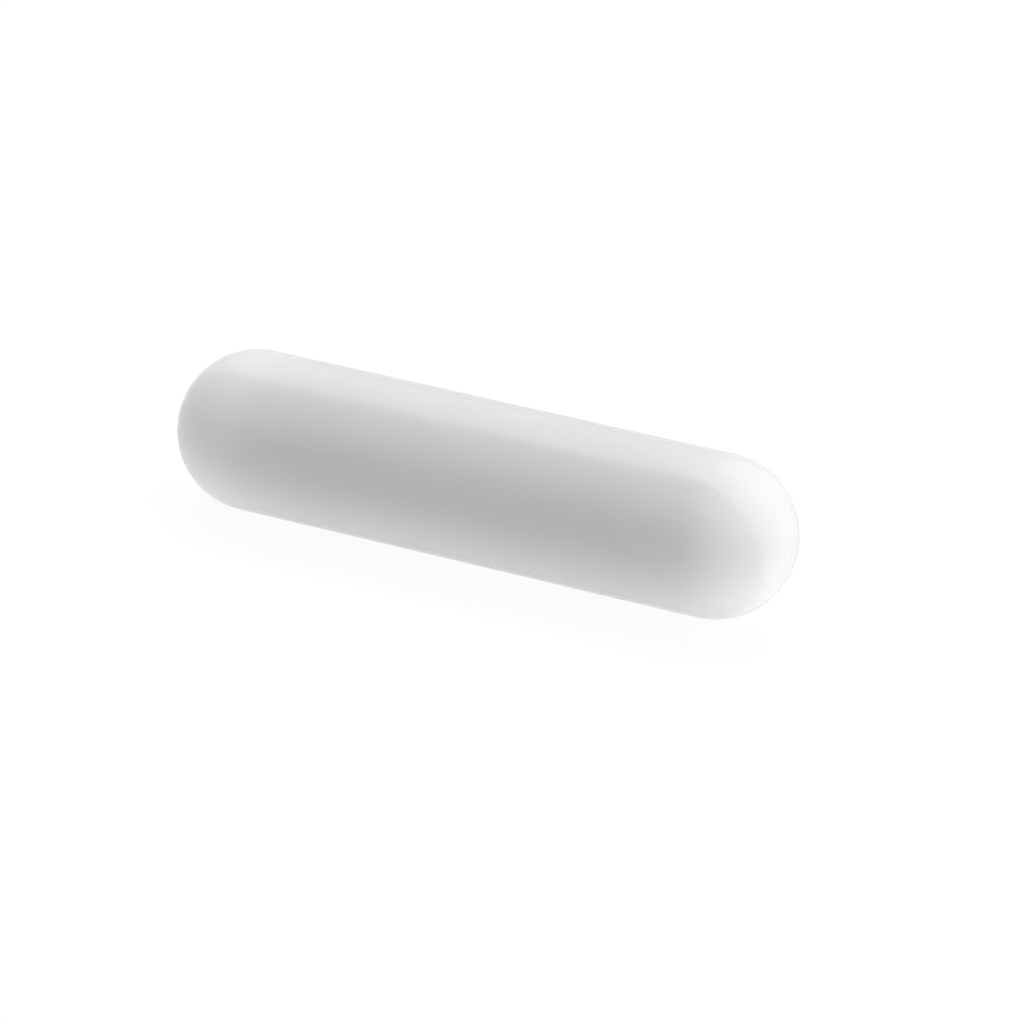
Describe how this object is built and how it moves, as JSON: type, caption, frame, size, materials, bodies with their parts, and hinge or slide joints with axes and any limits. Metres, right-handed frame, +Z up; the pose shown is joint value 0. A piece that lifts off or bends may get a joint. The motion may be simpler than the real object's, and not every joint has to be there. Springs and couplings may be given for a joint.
{
  "type": "magnetic stir bar",
  "caption": "Plain round magnetic stir bar with domed ends: a seamless white PTFE jacket moulded over a sealed alnico rod magnet.",
  "frame": {"origin": "centre of the bar, the point it turns about when it stirs", "axes": "+X along the bar's own axis from tip to tip, +Z up from the vessel's floor, +Y level across the bar"},
  "size_m": [0.0382, 0.0096, 0.0096],
  "materials": {
    "ptfe": "satin, sintered",
    "magnet_alloy": "ground"
  },
  "bodies": {
    "root": {"ptfe_jacket": "ptfe", "bar_magnet": "magnet_alloy"}
  },
  "joints": []
}
